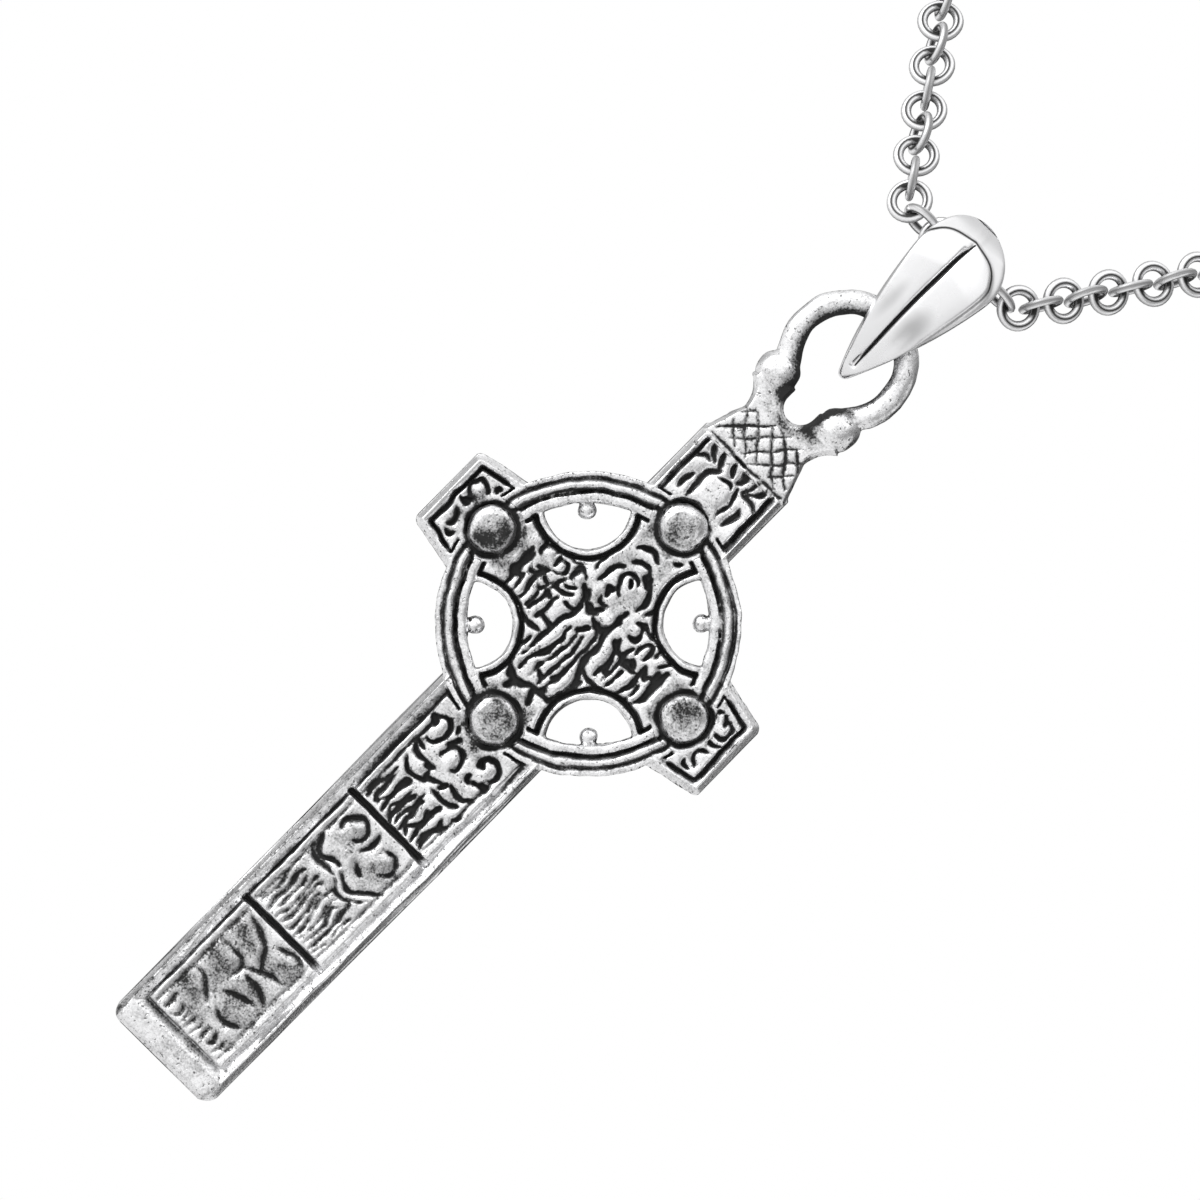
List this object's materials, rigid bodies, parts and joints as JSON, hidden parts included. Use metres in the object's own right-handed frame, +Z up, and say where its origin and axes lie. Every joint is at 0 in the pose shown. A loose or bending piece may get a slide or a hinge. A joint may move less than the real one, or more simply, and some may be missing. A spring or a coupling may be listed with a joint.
{
  "type": "celtic cross pendant necklace",
  "caption": "Necklace: a cast silver ringed high cross, bordered and covered in worn figure relief, hangs from a polished drop bail on a rolo chain.",
  "frame": {"origin": "at the nape, inside the clasp, where the necklace lies on the neck and is held up", "axes": "+Z up along the hanging cross, -Y the way the cross's face looks, +X to the viewer's right"},
  "size_m": [0.123, 0.1175, 0.1719],
  "materials": {
    "silver_antiqued": "cast silver, blackened in the recesses and worn bright on the high places",
    "silver_polished": "bright polished silver"
  },
  "bodies": {
    "chain": {"chain": "silver_polished", "clasp": "silver_polished"},
    "bail": {"bail": "silver_polished"},
    "cross": {"cross": "silver_antiqued"}
  },
  "joints": [
    {"name": "bail_swing", "type": "hinge", "parent": "chain", "child": "bail", "pos_m": [0, -0.1122, -0.1164], "axis": [1, 0, 0], "range_deg": [-60, 60]},
    {"name": "cross_swing", "type": "hinge", "parent": "bail", "child": "cross", "pos_m": [-0.0004, -0.1122, -0.12083], "axis": [1, 0, 0], "range_deg": [-50, 50]}
  ]
}
